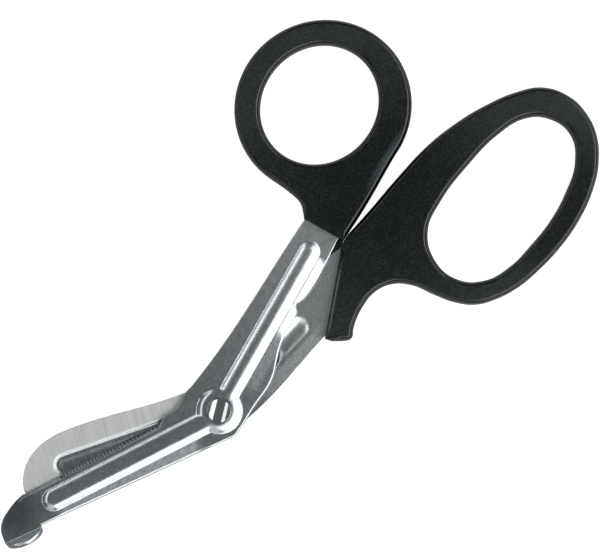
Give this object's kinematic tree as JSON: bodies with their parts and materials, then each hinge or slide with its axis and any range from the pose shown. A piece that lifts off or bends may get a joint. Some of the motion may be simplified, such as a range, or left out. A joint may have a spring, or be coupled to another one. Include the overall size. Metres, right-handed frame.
{
  "type": "scissors",
  "caption": "Utility and bandage shears: embossed stainless blades bent to the shanks, serrated lower edge with a folded blunt foot, black moulded ring handles, slotted pivot screw.",
  "frame": {"origin": "on the pivot's axis, at the flat back of the handles and of the pivot nut, which the shears lie on", "axes": "+X from the pivot along the closed shears to the finger loop's far end, +Y to the thumb ring's side, +Z out of the front, where the slotted screw head is"},
  "size_m": [0.1908, 0.0915, 0.009],
  "materials": {
    "tumbled_steel": "stamped stainless sheet, tumbled to a soft polish",
    "ground_steel": "stamped stainless sheet, fine ground across the blade",
    "black_plastic": "injection moulded polypropylene, fine satin",
    "screw_steel": "turned and polished stainless steel"
  },
  "bodies": {
    "finger_half": {"upper_blade": "ground_steel", "finger_loop": "black_plastic", "pivot_nut": "screw_steel", "pivot_screw": "screw_steel"},
    "thumb_half": {"lower_blade": "tumbled_steel", "thumb_ring": "black_plastic"}
  },
  "joints": [
    {"name": "pivot", "type": "hinge", "parent": "finger_half", "child": "thumb_half", "pos_m": [0, 0, 0.00445], "axis": [0, 0, 1], "range_deg": [0, 90]}
  ]
}
